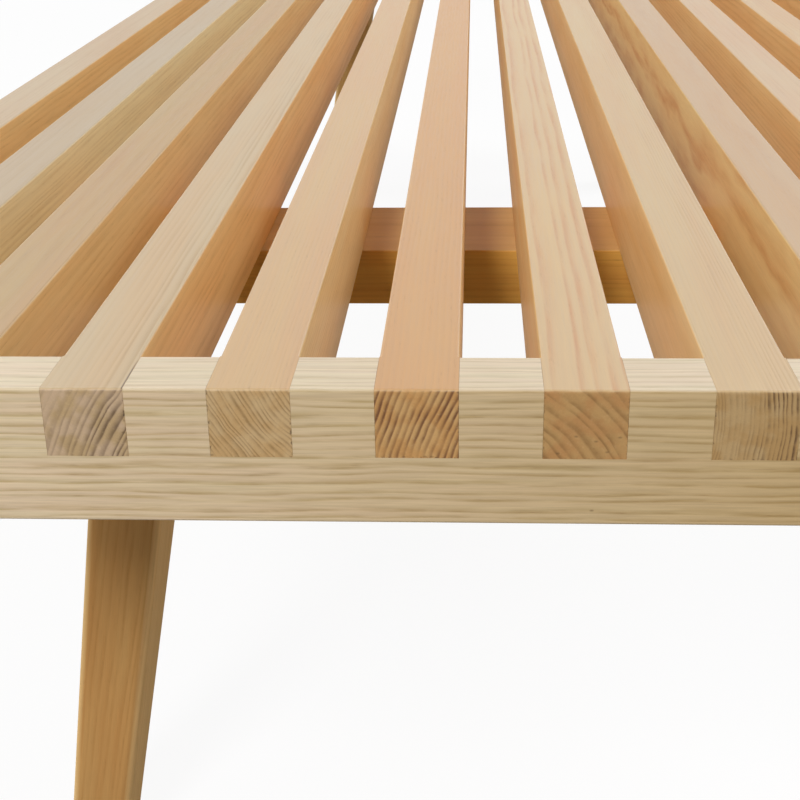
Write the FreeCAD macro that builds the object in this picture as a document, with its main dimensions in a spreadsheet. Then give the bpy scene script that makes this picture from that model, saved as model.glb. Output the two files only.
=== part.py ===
import FreeCAD, Part
import Sketcher
import os

# Slatted platform bench in solid wood. The origin is on the floor under the middle of the top,
# X runs across the slats, Y runs along them and Z points up.

# Driving sizes in millimetres
sizes = {
    "slat_count": 12,
    "bench_length": 1830,         # over the outer faces of the two end rails
    "bench_height": 356,          # floor to the top of the slats
    "slat_width": 20.2,
    "slat_gap": 20.3,
    "stock_height": 36,           # slats and end rails are cut from the same stock
    "rail_thickness": 21.5,
    "lap_depth": 18,              # height of the slat's tongue over the rail
    "lap_clearance": 0.05,        # on each side of a tongue in its notch
    "edge_ease": 0.8,             # sanded edges of slats, rails and bars
    "bar_setback": 228,           # outer face of the rail to the outer face of the bar
    "bar_depth": 64,
    "bar_height": 22.5,
    "bar_inset": 2.5,             # side of the top to the end of the bar
    "leg_spread_top": 161.3,      # middle of the bench to the leg's outer face, under the bar
    "leg_spread_foot": 208.2,     # middle of the bench to the leg's outer face, at its foot
    "leg_thickness_top": 36.4,
    "leg_thickness_foot": 28.5,
    "leg_depth_top": 56,
    "leg_depth_foot": 38,
    "leg_ease": 5,
    "tenon_thickness": 14,
    "tenon_clearance": 0.1,       # on each side of a tenon in its mortise
    "mortise_wall": 14,           # wood of the bar in front of and behind a mortise
    "pin_diameter": 8,
    "pin_clearance": 0.05,        # around a pin
    "pin_stop": 3,                # far side of the tenon to the blind end of its pin
    "screw_diameter": 4,
    "screw_clearance": 0.1,       # around a screw
    "screw_grip": 20,             # length of a screw inside its slat
    "screw_tip": 4,
    "screw_head_diameter": 8,
    "screw_head_height": 2.2,
    "screw_drive_width": 2.4,     # square drive
    "screw_drive_depth": 1.6,
    "glide_diameter": 20,
    "glide_height": 4,
    "glide_chamfer": 1,
    "glide_stem_diameter": 5,
    "glide_stem_length": 12,
    "glide_clearance": 0.1,       # around and above the stem of a glide
}

doc = FreeCAD.newDocument("platform_bench")
sheet = doc.addObject("Spreadsheet::Sheet", "Sizes")
for row, (name, value) in enumerate(sizes.items(), start=1):
    sheet.set("A%d" % row, name)
    sheet.set("B%d" % row, str(value))
    sheet.setAlias("B%d" % row, name)
doc.recompute()

# Places and sizes that follow from the sheet
slat_pitch = "(Sizes.slat_width + Sizes.slat_gap)"
slat_row = "((Sizes.slat_count - 1) * %s)" % slat_pitch
first_slat = "(-%s / 2)" % slat_row
top_width = "(%s + Sizes.slat_width)" % slat_row
half_length = "(Sizes.bench_length / 2)"
rail_inner_face = "(%s - Sizes.rail_thickness)" % half_length
lap_seat = "(Sizes.stock_height - Sizes.lap_depth)"
slat_underside = "(Sizes.bench_height - Sizes.stock_height)"
bar_underside = "(%s - Sizes.bar_height)" % slat_underside
bar_middle = "(%s - Sizes.bar_setback - Sizes.bar_depth / 2)" % half_length
tenon_depth = "(Sizes.bar_depth - 2 * Sizes.mortise_wall)"
tenon_middle = "(Sizes.leg_spread_top - Sizes.leg_thickness_top / 2)"
foot_middle = "(Sizes.leg_spread_foot - Sizes.leg_thickness_foot / 2)"
pin_length = "(Sizes.bar_depth / 2 + %s / 2 - Sizes.pin_stop)" % tenon_depth
screw_line = "(Sizes.bar_depth / 2 - Sizes.mortise_wall / 2)"
screw_length = "(Sizes.bar_height + Sizes.screw_grip)"

slat_count = int(sheet.slat_count)
half_turn = 180


def half(expression):
    return "(%s / 2)" % expression


def new_body(label, x="0", y="0", z="0", turn=0):
    body = doc.addObject("PartDesign::Body", label)
    body.Label = label
    body.Placement.Rotation = FreeCAD.Rotation(FreeCAD.Vector(0, 0, 1), turn)
    place(body, "Placement", x, y, z)
    return body


def place(thing, prop, x, y, z):
    for axis, expression in zip("xyz", (x, y, z)):
        thing.setExpression("%s.Base.%s" % (prop, axis), expression)


def origin_feature(body, role):
    return next(item for item in body.Origin.OriginFeatures if item.Role == role)


def new_sketch(body, role, x="0", y="0", z="0"):
    sketch = body.newObject("Sketcher::SketchObject", body.Name + "_sketch")
    sketch.AttachmentSupport = (origin_feature(body, role), [""])
    sketch.MapMode = "FlatFace"
    place(sketch, "AttachmentOffset", x, y, z)
    return sketch


def fix_point(sketch, line, end, point):
    # holds one end of a line at a place given by two expressions
    origin = (-1, 1)
    axis_of = {"DistanceX": -2, "DistanceY": -1}
    for kind, expression in zip(axis_of, point):
        value = sheet.evalExpression(expression)
        if value == 0:
            sketch.addConstraint(Sketcher.Constraint("PointOnObject", line, end, axis_of[kind]))
        elif value > 0:
            number = sketch.addConstraint(Sketcher.Constraint(kind, *origin, line, end, value))
            sketch.setExpression("Constraints[%d]" % number, expression)
        else:
            number = sketch.addConstraint(Sketcher.Constraint(kind, line, end, *origin, -value))
            sketch.setExpression("Constraints[%d]" % number, "-%s" % expression)


def add_outline(sketch, points):
    places = [FreeCAD.Vector(*(sheet.evalExpression(part) for part in point), 0) for point in points]
    first = sketch.GeometryCount
    count = len(points)
    for number in range(count):
        sketch.addGeometry(Part.LineSegment(places[number], places[(number + 1) % count]))
    for number in range(count):
        following = first + (number + 1) % count
        sketch.addConstraint(Sketcher.Constraint("Coincident", first + number, 2, following, 1))
    for number, point in enumerate(points):
        fix_point(sketch, first + number, 1, point)


def add_rectangle(sketch, width, height, base):
    # base is the height of the lower side, and the sides stand evenly about the middle
    top = "(%s + %s)" % (base, height)
    left = "(-%s / 2)" % width
    right = half(width)
    add_outline(sketch, [(left, base), (right, base), (right, top), (left, top)])


def add_circle(sketch, diameter, middle=("0", "0")):
    place_of = FreeCAD.Vector(*(sheet.evalExpression(part) for part in middle), 0)
    radius = sheet.evalExpression(half(diameter))
    circle = sketch.addGeometry(Part.Circle(place_of, FreeCAD.Vector(0, 0, 1), radius))
    fix_point(sketch, circle, 3, middle)
    number = sketch.addConstraint(Sketcher.Constraint("Diameter", circle, 2 * radius))
    sketch.setExpression("Constraints[%d]" % number, diameter)


def new_feature(body, kind, profile=None, **settings):
    feature = body.newObject("PartDesign::" + kind, body.Name + "_" + kind.lower())
    if profile:
        feature.Profile = profile
    for name, value in settings.items():
        setattr(feature, name, value)
    return feature


def extrude(body, kind, sketch, length, **settings):
    feature = new_feature(body, kind, sketch, **settings)
    feature.setExpression("Length", length)
    return feature


def turn_about_upright(body, kind, sketch):
    return new_feature(body, kind, sketch, ReferenceAxis=(sketch, ["V_Axis"]), Angle=360)


def mirror(body, role, originals):
    feature = new_feature(body, "Mirrored", Originals=originals)
    feature.MirrorPlane = (origin_feature(body, role), [""])
    body.Tip = feature
    return feature


def repeat_per_slat(body, originals):
    feature = new_feature(body, "LinearPattern", Originals=originals)
    feature.Direction = (origin_feature(body, "X_Axis"), [""])
    feature.setExpression("Length", slat_row)
    feature.setExpression("Occurrences", "Sizes.slat_count")
    body.Tip = feature
    return feature


def ease(body, feature, radius, wanted):
    # rounds each straight edge of the feature that the test picks by its two ends
    doc.recompute()
    names = []
    for number, edge in enumerate(feature.Shape.Edges, start=1):
        ends = [vertex.Point for vertex in edge.Vertexes]
        if len(ends) == 2 and wanted(ends[0], ends[1]):
            names.append("Edge%d" % number)
    fillet = new_feature(body, "Fillet", Base=(feature, names))
    fillet.setExpression("Radius", radius)
    return fillet


def near(first, second):
    return abs(first - second) < 1e-6


def along_y(start, end):
    return near(start.x, end.x) and near(start.z, end.z)


def along_x(start, end):
    return near(start.y, end.y) and near(start.z, end.z)


def upright(start, end):
    return not near(start.z, end.z)


def make_slat(number):
    # the full section runs between the rails and a tongue at each end laps over the rail
    x = "(%s + %d * %s)" % (first_slat, number, slat_pitch)
    body = new_body("slat_%02d" % (number + 1), x, "0", slat_underside)
    section = new_sketch(body, "XZ_Plane")
    add_rectangle(section, "Sizes.slat_width", "Sizes.stock_height", "0")
    span = extrude(body, "Pad", section, "(2 * %s)" % rail_inner_face, SideType="Symmetric")
    ease(body, span, "Sizes.edge_ease", along_y)

    tongue_section = new_sketch(body, "XZ_Plane", z=rail_inner_face)
    add_rectangle(tongue_section, "Sizes.slat_width", "Sizes.lap_depth", lap_seat)
    tongue = extrude(body, "Pad", tongue_section, "Sizes.rail_thickness")
    tongues = mirror(body, "XZ_Plane", [tongue])

    def top_of_end(start, end):
        at_end = near(abs(start.y), sheet.evalExpression(half_length))
        return along_x(start, end) and at_end and near(start.z, sheet.stock_height)

    ease(body, tongues, "Sizes.edge_ease", top_of_end)

    pilot_section = new_sketch(body, "XY_Plane")
    screw_place = "(%s - %s)" % (bar_middle, screw_line)
    pilot_diameter = "(Sizes.screw_diameter + 2 * Sizes.screw_clearance)"
    add_circle(pilot_section, pilot_diameter, ("0", screw_place))
    pilot = extrude(body, "Pocket", pilot_section, "Sizes.screw_grip", Reversed=True)
    mirror(body, "XZ_Plane", [pilot])
    return body


def make_end_rail(label, y, turn):
    # the outer face lies in the body's own XZ plane
    body = new_body(label, "0", y, slat_underside, turn)
    section = new_sketch(body, "XZ_Plane")
    add_rectangle(section, top_width, "Sizes.stock_height", "0")
    extrude(body, "Pad", section, "Sizes.rail_thickness", Reversed=True)

    notch_section = new_sketch(body, "XZ_Plane", x=first_slat)
    notch_width = "(Sizes.slat_width + 2 * Sizes.lap_clearance)"
    add_rectangle(notch_section, notch_width, "Sizes.lap_depth", lap_seat)
    notch = extrude(body, "Pocket", notch_section, "Sizes.rail_thickness")
    notches = repeat_per_slat(body, [notch])

    def long_arris(start, end):
        outside = near(start.z, 0) or near(start.z, sheet.stock_height)
        return along_x(start, end) and outside

    ease(body, notches, "Sizes.edge_ease", long_arris)
    return body


def make_cross_bar(label, y, turn):
    # the outer face looks along -Y of the body, and the screws stand behind the mortises
    body = new_body(label, "0", y, bar_underside, turn)
    section = new_sketch(body, "XZ_Plane")
    add_rectangle(section, "(%s - 2 * Sizes.bar_inset)" % top_width, "Sizes.bar_height", "0")
    plank = extrude(body, "Pad", section, "Sizes.bar_depth", SideType="Symmetric")
    ease(body, plank, "Sizes.edge_ease", along_x)

    mortise_section = new_sketch(body, "XY_Plane", x=tenon_middle)
    mortise_width = "(Sizes.tenon_thickness + 2 * Sizes.tenon_clearance)"
    mortise_depth = "(%s + 2 * Sizes.tenon_clearance)" % tenon_depth
    add_rectangle(mortise_section, mortise_width, mortise_depth, "(-%s / 2)" % mortise_depth)
    mortise = extrude(body, "Pocket", mortise_section, "Sizes.bar_height", Reversed=True)

    pin_section = new_sketch(body, "XZ_Plane", x=tenon_middle, z="(Sizes.bar_depth / 2)")
    pin_bore = "(Sizes.pin_diameter + 2 * Sizes.pin_clearance)"
    add_circle(pin_section, pin_bore, ("0", half("Sizes.bar_height")))
    pin_hole = extrude(body, "Pocket", pin_section, pin_length)
    mirror(body, "YZ_Plane", [mortise, pin_hole])

    screw_section = new_sketch(body, "XZ_Plane", x=first_slat, z="(-%s)" % screw_line)
    bore = "(Sizes.screw_diameter / 2 + Sizes.screw_clearance)"
    head = half("Sizes.screw_head_diameter")
    add_outline(screw_section, [("0", "0"), (head, "0"), (bore, "Sizes.screw_head_height"),
                                (bore, "Sizes.bar_height"), ("0", "Sizes.bar_height")])
    screw_hole = turn_about_upright(body, "Groove", screw_section)
    repeat_per_slat(body, [screw_hole])
    return body


def make_bar_screws(label, y, turn):
    # one countersunk screw under each slat, flush with the underside of the bar
    body = new_body(label, "0", y, bar_underside, turn)
    body.AllowCompound = True
    section = new_sketch(body, "XZ_Plane", x=first_slat, z="(-%s)" % screw_line)
    shank = half("Sizes.screw_diameter")
    head = half("Sizes.screw_head_diameter")
    point_start = "(%s - Sizes.screw_tip)" % screw_length
    add_outline(section, [("0", "0"), (head, "0"), (shank, "Sizes.screw_head_height"),
                          (shank, point_start), ("0", screw_length)])
    screw = turn_about_upright(body, "Revolution", section)

    drive_section = new_sketch(body, "XY_Plane", x=first_slat, y=screw_line)
    drive = "Sizes.screw_drive_width"
    add_rectangle(drive_section, drive, drive, "(-%s / 2)" % drive)
    recess = extrude(body, "Pocket", drive_section, "Sizes.screw_drive_depth", Reversed=True)
    repeat_per_slat(body, [screw, recess])
    return body


def make_leg(label, y, turn):
    # the leg leans outwards along X of the body and narrows both ways towards the foot
    body = new_body(label, "0", y, "0", turn)
    foot = "Sizes.glide_height"
    lean = new_sketch(body, "XZ_Plane")
    foot_inside = "(Sizes.leg_spread_foot - Sizes.leg_thickness_foot)"
    top_inside = "(Sizes.leg_spread_top - Sizes.leg_thickness_top)"
    add_outline(lean, [(foot_inside, foot), ("Sizes.leg_spread_foot", foot),
                       ("Sizes.leg_spread_top", bar_underside), (top_inside, bar_underside)])
    extrude(body, "Pad", lean, "Sizes.leg_depth_top", SideType="Symmetric")

    taper = new_sketch(body, "YZ_Plane")
    top_edge = half("Sizes.leg_depth_top")
    add_outline(taper, [(half("Sizes.leg_depth_foot"), foot), (top_edge, foot), (top_edge, bar_underside)])
    wedge = new_feature(body, "Pocket", taper, Type="ThroughAll", Reversed=True)
    shaft = mirror(body, "XZ_Plane", [wedge])
    ease(body, shaft, "Sizes.leg_ease", upright)

    tenon_section = new_sketch(body, "XY_Plane", x=tenon_middle, z=bar_underside)
    add_rectangle(tenon_section, "Sizes.tenon_thickness", tenon_depth, "(-%s / 2)" % tenon_depth)
    extrude(body, "Pad", tenon_section, "Sizes.bar_height")

    pin_section = new_sketch(body, "XZ_Plane", x=tenon_middle)
    pin_bore = "(Sizes.pin_diameter + 2 * Sizes.pin_clearance)"
    add_circle(pin_section, pin_bore, ("0", "(%s + Sizes.bar_height / 2)" % bar_underside))
    extrude(body, "Pocket", pin_section, tenon_depth, SideType="Symmetric")

    stem_section = new_sketch(body, "XY_Plane", x=foot_middle, z="Sizes.glide_height")
    add_circle(stem_section, "(Sizes.glide_stem_diameter + 2 * Sizes.glide_clearance)")
    stem_hole = "(Sizes.glide_stem_length + Sizes.glide_clearance)"
    extrude(body, "Pocket", stem_section, stem_hole, Reversed=True)
    return body


def make_leg_pin(label, side, y, turn):
    # a wooden pin driven from the outer face of the bar through the tenon
    body = new_body(label, "(%d * %s)" % (side, tenon_middle), y, bar_underside, turn)
    section = new_sketch(body, "XZ_Plane", z="(Sizes.bar_depth / 2)")
    add_circle(section, "Sizes.pin_diameter", ("0", half("Sizes.bar_height")))
    extrude(body, "Pad", section, pin_length, Reversed=True)
    return body


def make_foot_glide(label, side, y):
    # a nail-on glide whose stem fills the hole in the foot
    body = new_body(label, "(%d * %s)" % (side, foot_middle), y)
    section = new_sketch(body, "XZ_Plane")
    rim = half("Sizes.glide_diameter")
    stem = half("Sizes.glide_stem_diameter")
    top = "(Sizes.glide_height + Sizes.glide_stem_length)"
    add_outline(section, [("0", "0"), ("(%s - Sizes.glide_chamfer)" % rim, "0"),
                          (rim, "Sizes.glide_chamfer"), (rim, "Sizes.glide_height"),
                          (stem, "Sizes.glide_height"), (stem, top), ("0", top)])
    turn_about_upright(body, "Revolution", section)
    return body


bodies = [make_slat(number) for number in range(slat_count)]
for end_name, end_side, end_turn in (("front", -1, 0), ("back", 1, half_turn)):
    rail_place = "(%d * %s)" % (end_side, half_length)
    bar_place = "(%d * %s)" % (end_side, bar_middle)
    bodies.append(make_end_rail("end_rail_" + end_name, rail_place, end_turn))
    bodies.append(make_cross_bar("cross_bar_" + end_name, bar_place, end_turn))
    bodies.append(make_bar_screws("bar_screws_" + end_name, bar_place, end_turn))
    for side_name, leg_side, leg_turn in (("left", -1, half_turn), ("right", 1, 0)):
        corner = "%s_%s" % (end_name, side_name)
        bodies.append(make_leg("leg_" + corner, bar_place, leg_turn))
        bodies.append(make_leg_pin("leg_pin_" + corner, leg_side, bar_place, end_turn))
        bodies.append(make_foot_glide("foot_glide_" + corner, leg_side, bar_place))
doc.recompute()

for item in doc.Objects:
    if "Invalid" in item.State or "Error" in item.State:
        raise RuntimeError("%s failed: %s" % (item.Label, item.State))
for body in bodies:
    if body.Shape.isNull() or not body.Shape.isValid():
        raise RuntimeError("%s has no valid shape" % body.Label)

os.makedirs("parts", exist_ok=True)
for body in bodies:
    body.Shape.exportStep("parts/%s.step" % body.Label)
    print("%-24s solids %2d  volume %.1f cm3" % (body.Label, len(body.Shape.Solids), body.Shape.Volume / 1000))
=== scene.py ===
import math

import bpy
from mathutils import Euler, Matrix, Vector


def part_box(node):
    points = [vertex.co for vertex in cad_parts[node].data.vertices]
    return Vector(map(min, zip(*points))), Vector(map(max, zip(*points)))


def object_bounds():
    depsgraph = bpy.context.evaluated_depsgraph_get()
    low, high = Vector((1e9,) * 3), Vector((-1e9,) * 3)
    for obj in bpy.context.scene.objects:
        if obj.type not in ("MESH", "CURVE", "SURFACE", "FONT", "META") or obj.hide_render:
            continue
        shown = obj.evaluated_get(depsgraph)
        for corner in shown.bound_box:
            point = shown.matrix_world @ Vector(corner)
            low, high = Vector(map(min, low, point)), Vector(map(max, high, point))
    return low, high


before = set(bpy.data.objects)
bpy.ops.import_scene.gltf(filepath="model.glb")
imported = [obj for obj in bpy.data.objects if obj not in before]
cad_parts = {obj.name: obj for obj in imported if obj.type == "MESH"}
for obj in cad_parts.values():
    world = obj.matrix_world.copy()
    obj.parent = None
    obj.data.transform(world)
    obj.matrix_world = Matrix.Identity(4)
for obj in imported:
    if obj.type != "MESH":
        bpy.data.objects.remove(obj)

cadBox = [list(corner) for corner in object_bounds()]
nearEnd = cadBox[0][1]
scene = bpy.context.scene
mm = 0.001
corners = ("front_left", "front_right", "back_left", "back_right")
print("frame loaded:", len(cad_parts), "nodes")


def linear(hexCode):
    parts = [int(hexCode[i:i + 2], 16) / 255 for i in (1, 3, 5)]
    return tuple(p / 12.92 if p <= 0.04045 else ((p + 0.055) / 1.055) ** 2.4 for p in parts) + (1,)


# sockets go by name or place: a colour Mix has its share at 0, its colours at 6 and 7 and its result at 2,
# and a MapRange turns what lies between 1 and 2 into 3 to 4, or into 0 to 1
def addNode(tree, kind, settings=None, sockets=None):
    made = tree.nodes.new("ShaderNode" + kind)
    for key, value in (settings or {}).items():
        setattr(made, key, value)
    for key, value in (sockets or {}).items():
        if isinstance(value, bpy.types.NodeSocket):
            tree.links.new(value, made.inputs[key])
        else:
            made.inputs[key].default_value = value
    return made


def newMaterial(name):
    material = bpy.data.materials.new(name)
    material.use_nodes = True
    material.node_tree.nodes.clear()
    return material, material.node_tree


def dress(nodeName, material):
    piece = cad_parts[nodeName]
    piece.data.materials.clear()
    piece.data.materials.append(material)


# Ash, planed and lacquered satin: pale latewood, porous darker lines, end grain that drank more finish
ashDefaults = {
    "top": "#bfa175",         # sanded faces that look up, darker than the sides, which carry painted light
    "topWarm": "#ba966a",     # warmer patches there
    "side": "#eac182",        # sawn sides, painted lighter and warmer than the tops: painted bounce light between the slats
    "sideWarm": "#e6b776",
    "farSide": None,          # side colour at the other end of a board, blended in along its length
    "driftMm": (-120, 100),   # from where to where it changes, from its middle
    "flank": None,            # faces that look left or right, painted lighter than the other sides: painted light
    "line": "#dcc8a8",        # multiplies the wood along a growth line
    "topLineShare": 0.25,
    "lineShare": 0.4,
    "end": "#c3a06f",
    "endWarm": "#bd9460",
    "endLine": "#8a6337",
    "endLineShare": 0.8,
    "ringMm": 1.8,            # growth of a year
    "uneven": 1.4,            # how much the years differ
    "pithMm": (40, -20),      # growth centre from the middle of the piece, across and up
    "faintMm": 0,             # lines are faintest this far from the growth centre
    "boldMm": 1,              # and boldest this far from it
    "faintShare": 1,
    "bendMm": 0.8,            # how far a ring wanders
    "bendSpanMm": (14, 110),  # over which distance across and along
    "patchSpanMm": (12, 160),
    "fadeSpanMm": (4, 50),
    "fibreShare": 0.05,
    "fleckShare": 0.2,        # torn pale flecks of the end grain
    "lineWidth": 1,           # breadth of a growth line within its year
    "rubAndHighlight": 0.4,               # how far eased edges are painted pale, partly rubbed wear and partly painted highlight, 0 to 1
    "topRough": (0.38, 0.5),  # satin, from smooth to dull fibres
    "sideRough": 0.95,        # dry
    "endRough": 0.7,          # open
    "coat": 0.15,
    "gapShadeSpots": None,           # painted shade of a gaping half-lap, in spots along its left, right and lower edge, 0 to 1
    "openLapShade": 0,             # painted shade of an open joint along the right of a half-lap's top, 0 to 1
    "nicksMm": (),            # torn spots on the photographed end, across and up from the piece's middle
    "turn": (0, 0, 0),        # turns the grain from Y to the length of the piece, in degrees
    "seed": 0.0,
}
# place in the year and darkness of its line, and how long before the next year it rises again
yearTones = ((0.14, 0.85), (0.34, 0.3), (0.56, 0.04))
yearRise = (0.15, 0.1)
# noise values from which to which a pattern comes in
noiseCuts = {
    "fade": (0.32, 0.64),
    "patch": (0.36, 0.64),
    "fibre": (0.3, 0.7),
    "pore": (0.6, 0.74),
    "endPatch": (0.4, 0.6),
    "fleck": (0.6, 0.8),
    "gapShadeNoise": (0.55, 0.68),
}
# sizes of the normal from which to which a face counts as an end, a top, a flank or an eased edge
faceCuts = {"end": (0.55, 0.85), "up": (0.4, 0.85), "flank": (0.3, 0.9), "edge": (0.94, 0.8)}
woodMarks = {
    "pore": "#7d5a33",
    "poreShare": (0.02, 0.3),      # between the growth lines and on them
    "fleck": "#d9bb8e",
    "wornAndHighlight": "#dcc39c",             # rubbed edges, partly wear and partly painted highlight
    # painted shade inside gaping joints
    "paintedGapShade": "#3d2a14",
    "gapShadeMm": 0.4,                # breadth of the painted shade spots at the sides of a half-lap
    "gapShadeInsetMm": 0.15,          # and how far in from the slat's side they are darkest
    "gapShadeLowMm": (0.55, 0.15),    # where they start and are darkest above its lower edge
    "lapMm": (0.5, 0.25),          # where an open lap starts and is darkest, in from the slat's side
    "lapBackMm": (20, 12),         # where it ends and is darkest, behind the photographed end
    "nick": "#4f3617",
    "nickShare": 0.45,
    "nickMm": (0.7, 0.2),          # where a torn spot starts and is darkest, out from its middle
    "nickFlat": 1.8,               # how much wider than high it is
}


def ash(name, nodeName, **changes):
    grain = dict(ashDefaults, **changes)
    low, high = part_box(nodeName)
    middle = (low + high) / 2
    turn = Euler([math.radians(a) for a in grain["turn"]])
    pithAcross, pithUp = grain["pithMm"]
    pith = Vector((pithAcross, 0, pithUp)) * mm
    pith.rotate(turn)
    along = Vector((0, 1, 0))
    along.rotate(turn)

    # millimetres from the growth centre, with Y along the grain
    material, tree = newMaterial(name)
    coords = addNode(tree, "TexCoord")
    local = addNode(tree, "Mapping", {"vector_type": "TEXTURE"},
                    {0: coords.outputs["Object"], 1: middle + pith, 2: turn, 3: (mm, mm, mm)}).outputs[0]

    # millimetres across and along the grain, shift of the pattern, detail
    noiseSpans = {
        "bend": (*grain["bendSpanMm"], 0, 2),
        "fade": (*grain["fadeSpanMm"], 3, 2),
        "patch": (*grain["patchSpanMm"], 7, 2),
        "fibre": (0.45, 16, 11, 3),
        "pore": (0.3, 5, 17, 1),
        "endPatch": (5, 60, 23, 2),
        "fleck": (0.9, 2, 29, 1),
        "gapShadeNoise": (1.1, 40, 31, 1),
    }
    noise = {}
    share = {}
    for noiseName, (across, lengthwise, shift, detail) in noiseSpans.items():
        shift += grain["seed"]
        place = addNode(tree, "Mapping", {"vector_type": "POINT"},
                        {0: local, 1: (shift, shift * 1.7, shift * 0.6),
                         3: (1 / across, 1 / lengthwise, 1 / across)}).outputs[0]
        noise[noiseName] = addNode(tree, "TexNoise", None,
                                   {"Vector": place, "Scale": 1, "Detail": detail}).outputs
        if noiseName in noiseCuts:
            start, full = noiseCuts[noiseName]
            share[noiseName] = addNode(tree, "MapRange", None,
                                       {0: noise[noiseName][0], 1: start, 2: full}).outputs[0]

    # growth rings, bent a little, each year a bit different
    centred = addNode(tree, "VectorMath", {"operation": "SUBTRACT"},
                      {0: noise["bend"]["Color"], 1: (0.5, 0.5, 0.5)}).outputs[0]
    reach = 3 * grain["bendMm"]    # the noise keeps to about the middle third
    bent = addNode(tree, "VectorMath", {"operation": "MULTIPLY_ADD"},
                   {0: centred, 1: (reach, 0, reach), 2: local}).outputs[0]
    crossPlace = addNode(tree, "VectorMath", {"operation": "MULTIPLY"}, {0: bent, 1: (1, 0, 1)}).outputs[0]
    radius = addNode(tree, "VectorMath", {"operation": "LENGTH"}, {0: crossPlace}).outputs["Value"]
    years = addNode(tree, "Math", {"operation": "DIVIDE"}, {0: radius, 1: grain["ringMm"]}).outputs[0]
    yearNoise = addNode(tree, "TexNoise", {"noise_dimensions": "1D"},
                        {"W": years, "Scale": 0.45, "Detail": 1}).outputs[0]
    phase = addNode(tree, "Math", {"operation": "MULTIPLY_ADD"},
                    {0: yearNoise, 1: grain["uneven"], 2: years}).outputs[0]
    ring = addNode(tree, "Math", {"operation": "FRACT"}, {0: phase}).outputs[0]
    ringRamp = addNode(tree, "ValToRGB", None, {0: ring})
    ringRamp.color_ramp.elements[0].color = (1, 1, 1, 1)
    for moment, tone in yearTones:
        ringRamp.color_ramp.elements.new(moment * grain["lineWidth"]).color = (tone, tone, tone, 1)
    rise, tone = yearRise
    ringRamp.color_ramp.elements.new(1 - rise * grain["lineWidth"]).color = (tone, tone, tone, 1)
    fadeShare = addNode(tree, "MapRange", None, {0: share["fade"], 3: 0.2, 4: 1}).outputs[0]
    boldShare = addNode(tree, "MapRange", None, {0: radius, 1: grain["faintMm"], 2: grain["boldMm"],
                                                 3: grain["faintShare"], 4: 1}).outputs[0]
    strength = addNode(tree, "Math", {"operation": "MULTIPLY"}, {0: fadeShare, 1: boldShare}).outputs[0]
    line = addNode(tree, "Math", {"operation": "MULTIPLY"}, {0: ringRamp.outputs[0], 1: strength}).outputs[0]

    # which way the face looks
    facing = addNode(tree, "VectorMath", {"operation": "DOT_PRODUCT"},
                     {0: coords.outputs["Normal"], 1: along}).outputs["Value"]
    facingSize = addNode(tree, "Math", {"operation": "ABSOLUTE"}, {0: facing}).outputs[0]
    start, full = faceCuts["end"]
    endGrain = addNode(tree, "MapRange", None, {0: facingSize, 1: start, 2: full}).outputs[0]
    normalParts = addNode(tree, "SeparateXYZ", None, {0: coords.outputs["Normal"]})
    start, full = faceCuts["up"]
    lookingUp = addNode(tree, "MapRange", None,
                        {0: normalParts.outputs["Z"], 1: start, 2: full}).outputs[0]
    normalSize = addNode(tree, "VectorMath", {"operation": "ABSOLUTE"},
                         {0: coords.outputs["Normal"]}).outputs[0]
    sizeParts = addNode(tree, "SeparateXYZ", None, {0: normalSize}).outputs

    # long faces
    topGround = addNode(tree, "Mix", {"data_type": "RGBA"},
                        {0: share["patch"], 6: linear(grain["top"]), 7: linear(grain["topWarm"])}).outputs[2]
    # sides take their own lighter, warmer colour: painted bounce light between the slats
    sideGround = addNode(tree, "Mix", {"data_type": "RGBA"},
                         {0: share["patch"], 6: linear(grain["side"]),
                          7: linear(grain["sideWarm"])}).outputs[2]
    if grain["farSide"]:
        localParts = addNode(tree, "SeparateXYZ", None, {0: local})
        start, full = grain["driftMm"]
        drift = addNode(tree, "MapRange", None, {0: localParts.outputs["Y"], 1: start, 2: full}).outputs[0]
        sideGround = addNode(tree, "Mix", {"data_type": "RGBA"},
                             {0: drift, 6: sideGround, 7: linear(grain["farSide"])}).outputs[2]
    # faces that look left or right take the flank colour: painted light
    if grain["flank"]:
        start, full = faceCuts["flank"]
        onFlank = addNode(tree, "MapRange", None, {0: sizeParts["X"], 1: start, 2: full}).outputs[0]
        sideGround = addNode(tree, "Mix", {"data_type": "RGBA"},
                             {0: onFlank, 6: sideGround, 7: linear(grain["flank"])}).outputs[2]
    ground = addNode(tree, "Mix", {"data_type": "RGBA"},
                     {0: lookingUp, 6: sideGround, 7: topGround}).outputs[2]
    longShare = addNode(tree, "MapRange", None,
                        {0: lookingUp, 3: grain["lineShare"], 4: grain["topLineShare"]}).outputs[0]
    longLine = addNode(tree, "Math", {"operation": "MULTIPLY"}, {0: line, 1: longShare}).outputs[0]
    longColour = addNode(tree, "Mix", {"data_type": "RGBA", "blend_type": "MULTIPLY"},
                         {0: longLine, 6: ground, 7: linear(grain["line"])}).outputs[2]

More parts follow.
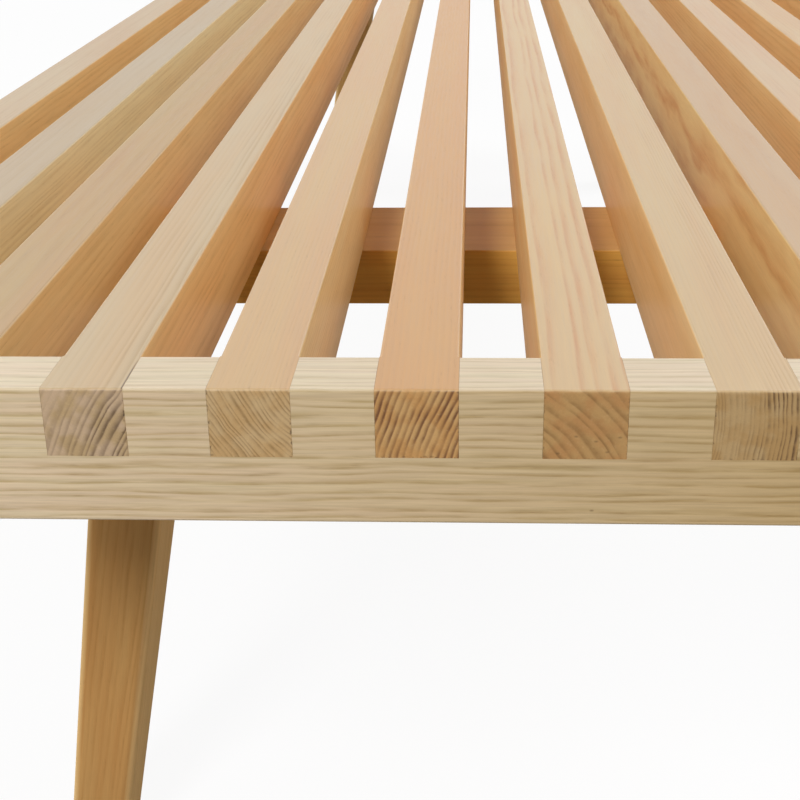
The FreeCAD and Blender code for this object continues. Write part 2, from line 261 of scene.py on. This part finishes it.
    # end grain, with torn pale flecks
    endGround = addNode(tree, "Mix", {"data_type": "RGBA"},
                        {0: share["endPatch"], 6: linear(grain["end"]),
                         7: linear(grain["endWarm"])}).outputs[2]
    endLine = addNode(tree, "Math", {"operation": "MULTIPLY"}, {0: line, 1: grain["endLineShare"]}).outputs[0]
    endLined = addNode(tree, "Mix", {"data_type": "RGBA"},
                       {0: endLine, 6: endGround, 7: linear(grain["endLine"])}).outputs[2]
    fleckShare = addNode(tree, "Math", {"operation": "MULTIPLY"},
                         {0: share["fleck"], 1: grain["fleckShare"]}).outputs[0]
    endColour = addNode(tree, "Mix", {"data_type": "RGBA"},
                        {0: fleckShare, 6: endLined, 7: linear(woodMarks["fleck"])}).outputs[2]
    # painted shade of a gaping half-lap, in spots near the slat's sides and lower edge on its end
    if grain["gapShadeSpots"]:
        left, right, lower = grain["gapShadeSpots"]
        fromMiddle = addNode(tree, "VectorMath", {"operation": "ADD"},
                             {0: local, 1: (pithAcross, 0, pithUp)}).outputs[0]
        middleParts = addNode(tree, "SeparateXYZ", None, {0: fromMiddle}).outputs
        rim = (high.x - low.x) / 2 / mm - woodMarks["gapShadeInsetMm"]
        inside = rim - woodMarks["gapShadeMm"]
        nearLeft = addNode(tree, "MapRange", None,
                           {0: middleParts["X"], 1: -inside, 2: -rim, 4: left}).outputs[0]
        nearRight = addNode(tree, "MapRange", None,
                            {0: middleParts["X"], 1: inside, 2: rim, 4: right}).outputs[0]
        start, full = woodMarks["gapShadeLowMm"]
        nearLower = addNode(tree, "MapRange", None,
                            {0: middleParts["Z"], 1: start, 2: full, 4: lower}).outputs[0]
        nearSides = addNode(tree, "Math", {"operation": "MAXIMUM"}, {0: nearLeft, 1: nearRight}).outputs[0]
        nearJoint = addNode(tree, "Math", {"operation": "MAXIMUM"}, {0: nearSides, 1: nearLower}).outputs[0]
        gapShadeShare = addNode(tree, "Math", {"operation": "MULTIPLY"},
                             {0: nearJoint, 1: share["gapShadeNoise"]}).outputs[0]
        endColour = addNode(tree, "Mix", {"data_type": "RGBA"},
                            {0: gapShadeShare, 6: endColour, 7: linear(woodMarks["paintedGapShade"])}).outputs[2]
    wood = addNode(tree, "Mix", {"data_type": "RGBA"}, {0: endGrain, 6: longColour, 7: endColour}).outputs[2]

    # painted shade of an open joint along the right of the half-lap's top, just behind the photographed end
    if grain["openLapShade"]:
        placeParts = addNode(tree, "SeparateXYZ", None, {0: coords.outputs["Object"]}).outputs
        start, full = (high.x - span * mm for span in woodMarks["lapMm"])
        besideLap = addNode(tree, "MapRange", None,
                            {0: placeParts["X"], 1: start, 2: full, 4: grain["openLapShade"]}).outputs[0]
        start, full = (nearEnd + span * mm for span in woodMarks["lapBackMm"])
        overRail = addNode(tree, "MapRange", None, {0: placeParts["Y"], 1: start, 2: full}).outputs[0]
        openShare = addNode(tree, "Math", {"operation": "MULTIPLY"}, {0: besideLap, 1: overRail}).outputs[0]
        openShare = addNode(tree, "Math", {"operation": "MULTIPLY"}, {0: openShare, 1: lookingUp}).outputs[0]
        wood = addNode(tree, "Mix", {"data_type": "RGBA"},
                       {0: openShare, 6: wood, 7: linear(woodMarks["paintedGapShade"])}).outputs[2]

    # torn spots
    flat = Vector((1, 1, woodMarks["nickFlat"]))
    flattened = addNode(tree, "VectorMath", {"operation": "MULTIPLY"},
                        {0: coords.outputs["Object"], 1: flat}).outputs[0]
    start, full = (span * mm for span in woodMarks["nickMm"])
    for across, up in grain["nicksMm"]:
        spot = Vector((middle.x + across * mm, nearEnd, middle.z + up * mm))
        nickReach = addNode(tree, "VectorMath", {"operation": "DISTANCE"},
                            {0: flattened, 1: spot * flat}).outputs["Value"]
        nickShare = addNode(tree, "MapRange", None,
                            {0: nickReach, 1: start, 2: full, 4: woodMarks["nickShare"]}).outputs[0]
        wood = addNode(tree, "Mix", {"data_type": "RGBA"},
                       {0: nickShare, 6: wood, 7: linear(woodMarks["nick"])}).outputs[2]

    # fibres, the dark ones a little stronger than the pale, and open pores
    fibreTone = addNode(tree, "MapRange", None,
                        {0: share["fibre"], 3: 1 - grain["fibreShare"],
                         4: 1 + 0.6 * grain["fibreShare"]}).outputs[0]
    fibred = addNode(tree, "VectorMath", {"operation": "SCALE"}, {0: wood, 3: fibreTone}).outputs[0]
    offLine, onLine = woodMarks["poreShare"]
    poreShare = addNode(tree, "MapRange", None, {0: line, 3: offLine, 4: onLine}).outputs[0]
    pore = addNode(tree, "Math", {"operation": "MULTIPLY"}, {0: share["pore"], 1: poreShare}).outputs[0]
    pored = addNode(tree, "Mix", {"data_type": "RGBA"},
                    {0: pore, 6: fibred, 7: linear(woodMarks["pore"])}).outputs[2]

    # eased edges, paler here and there: partly rubbed wear, partly a painted highlight
    flatSize = addNode(tree, "Math", {"operation": "MAXIMUM"},
                       {0: sizeParts["X"], 1: sizeParts["Y"]}).outputs[0]
    flattest = addNode(tree, "Math", {"operation": "MAXIMUM"}, {0: flatSize, 1: sizeParts["Z"]}).outputs[0]
    start, full = faceCuts["edge"]
    onEdge = addNode(tree, "MapRange", None, {0: flattest, 1: start, 2: full, 4: grain["rubAndHighlight"]}).outputs[0]
    rubbedAndLit = addNode(tree, "Math", {"operation": "MULTIPLY"}, {0: onEdge, 1: fadeShare}).outputs[0]
    wornAndHighlight = addNode(tree, "Mix", {"data_type": "RGBA"},
                   {0: rubbedAndLit, 6: pored, 7: linear(woodMarks["wornAndHighlight"])}).outputs[2]

    # satin on the tops, drier sides, open end grain; growth lines lie low and pores lowest
    smooth, dull = grain["topRough"]
    topRough = addNode(tree, "MapRange", None, {0: share["fibre"], 3: smooth, 4: dull}).outputs[0]
    longRough = addNode(tree, "MapRange", None, {0: lookingUp, 3: grain["sideRough"], 4: topRough}).outputs[0]
    roughness = addNode(tree, "MapRange", None, {0: endGrain, 3: longRough, 4: grain["endRough"]}).outputs[0]
    relief = addNode(tree, "Math", {"operation": "MULTIPLY_ADD"},
                     {0: line, 1: -0.5, 2: noise["fibre"][0]}).outputs[0]
    height = addNode(tree, "Math", {"operation": "SUBTRACT"}, {0: relief, 1: pore}).outputs[0]
    bump = addNode(tree, "Bump", None, {"Height": height, "Strength": 0.5, "Distance": 0.05 * mm}).outputs[0]
    shader = addNode(tree, "BsdfPrincipled", None,
                     {"Base Color": wornAndHighlight, "Roughness": roughness, "Normal": bump, "IOR": 1.5,
                      "Coat Weight": grain["coat"], "Coat Roughness": 0.3})
    addNode(tree, "OutputMaterial", None, {"Surface": shader.outputs[0]})
    return material


# Each slat is cut from its own board, counted from the left of the photographed end
slatGrain = {
    1: {"pithMm": (-50, -30), "ringMm": 2.2, "top": "#b69f7d", "topWarm": "#b39672"},
    2: {"pithMm": (36, -44), "ringMm": 2.0, "top": "#ac987a", "topWarm": "#ab9371",
        "side": "#edd9a9", "sideWarm": "#e9d09e"},
    3: {"pithMm": (-30, -40), "ringMm": 2.4, "top": "#aa8c5a", "topWarm": "#ac8858",
        "side": "#e7c688", "sideWarm": "#e3bc7d"},
    4: {"pithMm": (60, -25), "ringMm": 1.75, "top": "#bba480", "topWarm": "#bda078", "topLineShare": 0.9,
        "side": "#ecbf7e", "sideWarm": "#e8b470",
        "end": "#c3a787", "endWarm": "#b89b71", "endLine": "#43290b", "endLineShare": 1,
        "lineWidth": 1.1, "fadeSpanMm": (8, 60), "faintMm": 78, "boldMm": 60, "faintShare": 0.25,
        "gapShadeSpots": (0.1, 1, 0.15), "openLapShade": 0.75, "nicksMm": ((10, 17.6), (9.4, 6.4))},
    5: {"pithMm": (52, 46), "ringMm": 1.15, "top": "#c2a174", "topWarm": "#c29c71", "topLineShare": 0.15,
        "side": "#eccd95", "sideWarm": "#e9c588",
        "end": "#c5a678", "endWarm": "#c09c69", "endLine": "#7c5c2e", "endLineShare": 0.68,
        "gapShadeSpots": (0.7, 0.8, 0.2), "nicksMm": ((-9.8, 0.5),)},
    6: {"pithMm": (59, -14), "ringMm": 1.6, "uneven": 0.4, "top": "#c29662", "topWarm": "#c19260",
        "topLineShare": 0.15, "end": "#cba066", "endWarm": "#c29155", "endLine": "#5c3008",
        "endLineShare": 1, "lineWidth": 1.25, "fadeSpanMm": (8, 60),
        "gapShadeSpots": (0.2, 0.5, 0.8), "nicksMm": ((10, 17.4), (2, 0.4), (3.6, 0.4))},
    7: {"pithMm": (-32, -21), "ringMm": 2.7, "top": "#c5a87e", "topWarm": "#c6a87b", "line": "#f0cfc0",
        "topLineShare": 0.9, "side": "#dfb978", "sideWarm": "#ddac65", "fleckShare": 0.1,
        "end": "#b78f58", "endWarm": "#b3844e", "endLine": "#7c5829", "endLineShare": 0.75,
        "gapShadeSpots": (0.4, 0.4, 0.3), "nicksMm": ((-2.2, 6), (2.6, 4.7), (8.3, 5.8), (5.4, 1.9), (-6.5, 1.5))},
    8: {"pithMm": (-45, 9), "ringMm": 1.1, "top": "#c0a57b", "topWarm": "#bf9e74", "topLineShare": 0.4,
        "side": "#eec78a", "sideWarm": "#eabd79", "fleckShare": 0,
        "end": "#b69768", "endWarm": "#ae8a56", "endLine": "#573a18", "endLineShare": 1,
        "faintMm": 44, "boldMm": 49, "faintShare": 0.35, "gapShadeSpots": (0.5, 0.3, 0.6)},
    9: {"pithMm": (40, -25), "ringMm": 9, "top": "#b59773", "topWarm": "#b6946c", "topLineShare": 0.15,
        "side": "#e9cb8d", "sideWarm": "#e5c07f", "line": "#d89a58", "lineShare": 0.6, "lineWidth": 1.4,
        "bendMm": 4, "bendSpanMm": (18, 60)},
    10: {"pithMm": (-38, -36), "ringMm": 1.9, "top": "#bda17d", "topWarm": "#bc9a75"},
    11: {"pithMm": (28, 34), "ringMm": 2.3},
    12: {"pithMm": (-60, 12), "ringMm": 1.7, "top": "#c2a273", "topWarm": "#bf9a6e"},
}
for number, grain in slatGrain.items():
    slatNode = "slat_%02d" % number
    grain = dict({"seed": float(number), "gapShadeSpots": (0.4, 0.4, 0.4)}, **grain)
    dress(slatNode, ash("ash " + slatNode, slatNode, **grain))

crossTurn = (0, 0, -90)
railGrain = {
    "top": "#d2c2a4", "topWarm": "#d3bfa4", "side": "#e1cda9", "sideWarm": "#e0c8a8", "farSide": "#c3a675",
    "line": "#d0c6a6", "lineShare": 0.8, "topLineShare": 0.55, "nicksMm": ((22.5, -14),),
    "ringMm": 1.75, "pithMm": (60, -60), "bendMm": 0.9, "bendSpanMm": (9, 48), "lineWidth": 1.05,
    "patchSpanMm": (3, 60), "fadeSpanMm": (1.6, 16), "fibreShare": 0.1, "turn": crossTurn,
}
for railNode, seed in (("end_rail_front", 21.0), ("end_rail_back", 25.0)):
    dress(railNode, ash("ash " + railNode, railNode, seed=seed, **railGrain))

# the bar's colours are the wood's tone, deepened and warmed as painted shade of its place under the slats
barGrain = {
    "top": "#dcb06c", "topWarm": "#d6a762", "side": "#dea44a", "sideWarm": "#d89943",
    "ringMm": 2.4, "pithMm": (20, -70), "turn": crossTurn, "topRough": (0.48, 0.58), "coat": 0, "rubAndHighlight": 0.1,
}
for barNode, seed in (("cross_bar_front", 31.0), ("cross_bar_back", 35.0)):
    dress(barNode, ash("ash " + barNode, barNode, seed=seed, **barGrain))

legLean = 9.1
# legs: sides deeper and warmer than the slats' as painted shade under the top, partly the wood's tone, and
# flanks painted lighter as painted light
legGrain = {
    "side": "#ca9c5d", "sideWarm": "#c49152", "flank": "#f6cd8a", "ringMm": 2.2, "pithMm": (50, -50),
    "coat": 0, "rubAndHighlight": 0.1,
}
for corner, lean, seed in zip(corners, (legLean, -legLean, legLean, -legLean), (41.0, 43.0, 45.0, 47.0)):
    legNode = "leg_" + corner
    dress(legNode, ash("ash " + legNode, legNode, turn=(90, lean, 0), seed=seed, **legGrain))

pinGrain = {"pithMm": (12, 5), "ringMm": 1.2, "end": "#a57c4c", "endWarm": "#9c7242", "coat": 0, "seed": 51.0}
for corner in corners:
    pinNode = "leg_pin_" + corner
    dress(pinNode, ash("ash " + pinNode, pinNode, **pinGrain))
print("wood dressed")


# Zinc-plated steel: bright grey heads, dulled unevenly, with fine scratches from the driver
zincPlate = {
    "bright": "#c4c2ba",
    "dulled": "#9d9a90",
    "cloudMm": 1.6,
    "scratchMm": (0.08, 2.5),
    "scratchTurn": 0.6,       # radians
    "rough": (0.28, 0.46),    # bright and dulled
}


def zincSteel():
    material, tree = newMaterial("zinc-plated steel")
    coords = addNode(tree, "TexCoord").outputs["Object"]
    perMm = 1 / mm
    clouds = addNode(tree, "TexNoise", None,
                     {"Vector": coords, "Scale": perMm / zincPlate["cloudMm"], "Detail": 3}).outputs[0]
    narrow, lengthwise = (perMm / span for span in zincPlate["scratchMm"])
    stretched = addNode(tree, "Mapping", None, {0: coords, 2: (0, 0, zincPlate["scratchTurn"]),
                                                3: (narrow, lengthwise, narrow)}).outputs[0]
    scratches = addNode(tree, "TexNoise", None, {"Vector": stretched, "Scale": 1, "Detail": 1}).outputs[0]
    colour = addNode(tree, "Mix", {"data_type": "RGBA"},
                     {0: clouds, 6: linear(zincPlate["bright"]), 7: linear(zincPlate["dulled"])}).outputs[2]
    smooth, dull = zincPlate["rough"]
    roughness = addNode(tree, "MapRange", None, {0: clouds, 1: 0.3, 2: 0.7, 3: smooth, 4: dull}).outputs[0]
    bump = addNode(tree, "Bump", None,
                   {"Height": scratches, "Strength": 0.4, "Distance": 0.01 * mm}).outputs[0]
    shader = addNode(tree, "BsdfPrincipled", None,
                     {"Base Color": colour, "Metallic": 1, "Roughness": roughness, "Normal": bump})
    addNode(tree, "OutputMaterial", None, {"Surface": shader.outputs[0]})
    return material


# Moulded brown plastic: matt, faintly mottled, scuffed paler on the floor side
glidePlastic = {
    "body": "#3b3028",
    "mottle": "#463a30",
    "scuff": "#6b6056",
    "grainMm": 0.5,
    "scuffMm": 1.5,
    "rough": (0.45, 0.6),
}


def brownPlastic():
    material, tree = newMaterial("moulded brown plastic")
    coords = addNode(tree, "TexCoord")
    moulded = addNode(tree, "TexNoise", None, {"Vector": coords.outputs["Object"], "Detail": 2,
                                               "Scale": 1 / mm / glidePlastic["grainMm"]}).outputs[0]
    rubs = addNode(tree, "TexNoise", None, {"Vector": coords.outputs["Object"], "Detail": 3,
                                            "Scale": 1 / mm / glidePlastic["scuffMm"]}).outputs[0]
    normalParts = addNode(tree, "SeparateXYZ", None, {0: coords.outputs["Normal"]})
    lookingDown = addNode(tree, "MapRange", None, {0: normalParts.outputs["Z"], 1: -0.3, 2: -0.8}).outputs[0]
    rubCut = addNode(tree, "MapRange", None, {0: rubs, 1: 0.5, 2: 0.65}).outputs[0]
    scuff = addNode(tree, "Math", {"operation": "MULTIPLY"}, {0: lookingDown, 1: rubCut}).outputs[0]
    body = addNode(tree, "Mix", {"data_type": "RGBA"},
                   {0: moulded, 6: linear(glidePlastic["body"]),
                    7: linear(glidePlastic["mottle"])}).outputs[2]
    colour = addNode(tree, "Mix", {"data_type": "RGBA"},
                     {0: scuff, 6: body, 7: linear(glidePlastic["scuff"])}).outputs[2]
    smooth, dull = glidePlastic["rough"]
    roughness = addNode(tree, "MapRange", None, {0: moulded, 1: 0.3, 2: 0.7, 3: smooth, 4: dull}).outputs[0]
    bump = addNode(tree, "Bump", None, {"Height": moulded, "Strength": 0.3, "Distance": 0.03 * mm}).outputs[0]
    shader = addNode(tree, "BsdfPrincipled", None,
                     {"Base Color": colour, "Roughness": roughness, "Normal": bump, "IOR": 1.49})
    addNode(tree, "OutputMaterial", None, {"Surface": shader.outputs[0]})
    return material


steel = zincSteel()
for screwNode in ("bar_screws_front", "bar_screws_back"):
    dress(screwNode, steel)
plastic = brownPlastic()
for corner in corners:
    dress("foot_glide_" + corner, plastic)
print("screws and glides dressed")


# The photographed end is seen from a little above it, close by
viewpoint = {
    "place": (-7.0 * mm, nearEnd - 307.2 * mm, 485.5 * mm),
    "down": 23.774,          # degrees
    "left": 3.207,
    "roll": -1.015,
    "lens": 63.07,           # millimetres on a frame 36 wide
    "frame": 36,
    "shiftUp": 13 / 800,     # share of the picture's width
}


def makeCamera():
    camera = bpy.data.cameras.new("photoCamera")
    camera.lens = viewpoint["lens"]
    camera.sensor_width = viewpoint["frame"]
    camera.shift_y = viewpoint["shiftUp"]
    camera.clip_start = 0.01
    holder = bpy.data.objects.new("photoCamera", camera)
    scene.collection.objects.link(holder)
    heading = Matrix.Rotation(math.radians(viewpoint["left"]), 4, "Z")
    tilt = Matrix.Rotation(math.radians(90 - viewpoint["down"]), 4, "X")
    roll = Matrix.Rotation(math.radians(viewpoint["roll"]), 4, "Z")
    holder.matrix_world = Matrix.Translation(viewpoint["place"]) @ heading @ tilt @ roll
    scene.camera = holder


# The lamps aim at the photographed end of the top
lampAim = Vector((0, nearEnd + 0.11, 0.34))
# degrees round from the photographed end towards +X, degrees up, metres away, metres wide, watts
softBoxes = {
    "keyBox": (-18, 36, 4.2, 1.0, 138),
    "leftBox": (-75, 15, 4.2, 2.0, 33),
    "rightBox": (75, 15, 4.2, 2.0, 31),
    "backLeftBox": (-140, 41, 4.2, 1.8, 45),
    "backRightBox": (140, 41, 4.2, 1.8, 97),
}
roomLight = 0.03
floorSize = 60
floorBounce = "#7d7974"   # grey to the wood, so the underside stays in shade
floorShade = 0.08         # how much darker the white floor looks in full shadow
floorLight = 1.1          # light that falls on the open floor
shadeFade = (1.4, 4.0)    # metres from the middle over which the shadow ends
white = (1, 1, 1, 1)


def makeLamp(name, around, upward, distance, size, power):
    lamp = bpy.data.lights.new(name, "AREA")
    lamp.shape = "SQUARE"
    lamp.size = size
    lamp.energy = power
    holder = bpy.data.objects.new(name, lamp)
    scene.collection.objects.link(holder)
    away = Vector((0, -distance, 0))
    away.rotate(Euler((-math.radians(upward), 0, math.radians(around))))
    holder.location = lampAim + away
    holder.rotation_euler = (-away).to_track_quat("-Z", "Y").to_euler()


def seenDirectly(tree):
    path = addNode(tree, "LightPath")
    sharp = addNode(tree, "Math", {"operation": "MAXIMUM"},
                    {0: path.outputs["Is Camera Ray"], 1: path.outputs["Is Glossy Ray"]}).outputs[0]
    return addNode(tree, "Math", {"operation": "MAXIMUM"},
                   {0: sharp, 1: path.outputs["Is Transmission Ray"]}).outputs[0]


def makeStudio():
    for name, lampSet in softBoxes.items():
        makeLamp(name, *lampSet)

    world = bpy.data.worlds.new("studio")
    scene.world = world
    world.use_nodes = True
    tree = world.node_tree
    tree.nodes.clear()
    room = addNode(tree, "Background", None, {"Color": white, "Strength": roomLight})
    backdrop = addNode(tree, "Background", None, {"Color": white, "Strength": 1})
    mixed = addNode(tree, "MixShader", None,
                    {0: seenDirectly(tree), 1: room.outputs[0], 2: backdrop.outputs[0]})
    addNode(tree, "OutputWorld", None, {"Surface": mixed.outputs[0]})

    bpy.ops.mesh.primitive_plane_add(size=floorSize)
    floor = bpy.context.active_object
    floor.name = "studioFloor"
    material, tree = newMaterial("white studio floor")
    dim = addNode(tree, "BsdfDiffuse", None, {"Color": linear(floorBounce)})
    shade = floorShade / floorLight
    matte = addNode(tree, "BsdfDiffuse", None, {"Color": (shade, shade, shade, 1)})
    glow = addNode(tree, "Emission", None, {"Color": white, "Strength": 1 - floorShade})
    near = addNode(tree, "AddShader", None, {0: matte.outputs[0], 1: glow.outputs[0]})
    far = addNode(tree, "Emission", None, {"Color": white, "Strength": 1})
    place = addNode(tree, "TexCoord").outputs["Object"]
    reach = addNode(tree, "VectorMath", {"operation": "LENGTH"}, {0: place}).outputs["Value"]
    fade = addNode(tree, "MapRange", None, {0: reach, 1: shadeFade[0], 2: shadeFade[1]}).outputs[0]
    pale = addNode(tree, "MixShader", None, {0: fade, 1: near.outputs[0], 2: far.outputs[0]})
    mixed = addNode(tree, "MixShader", None, {0: seenDirectly(tree), 1: dim.outputs[0], 2: pale.outputs[0]})
    below = addNode(tree, "NewGeometry").outputs["Backfacing"]    # open to a look from below
    clear = addNode(tree, "BsdfTransparent")
    oneSided = addNode(tree, "MixShader", None, {0: below, 1: mixed.outputs[0], 2: clear.outputs[0]})
    addNode(tree, "OutputMaterial", None, {"Surface": oneSided.outputs[0]})
    floor.data.materials.append(material)


makeCamera()
makeStudio()
scene.view_settings.view_transform = "Standard"
print("studio ready")
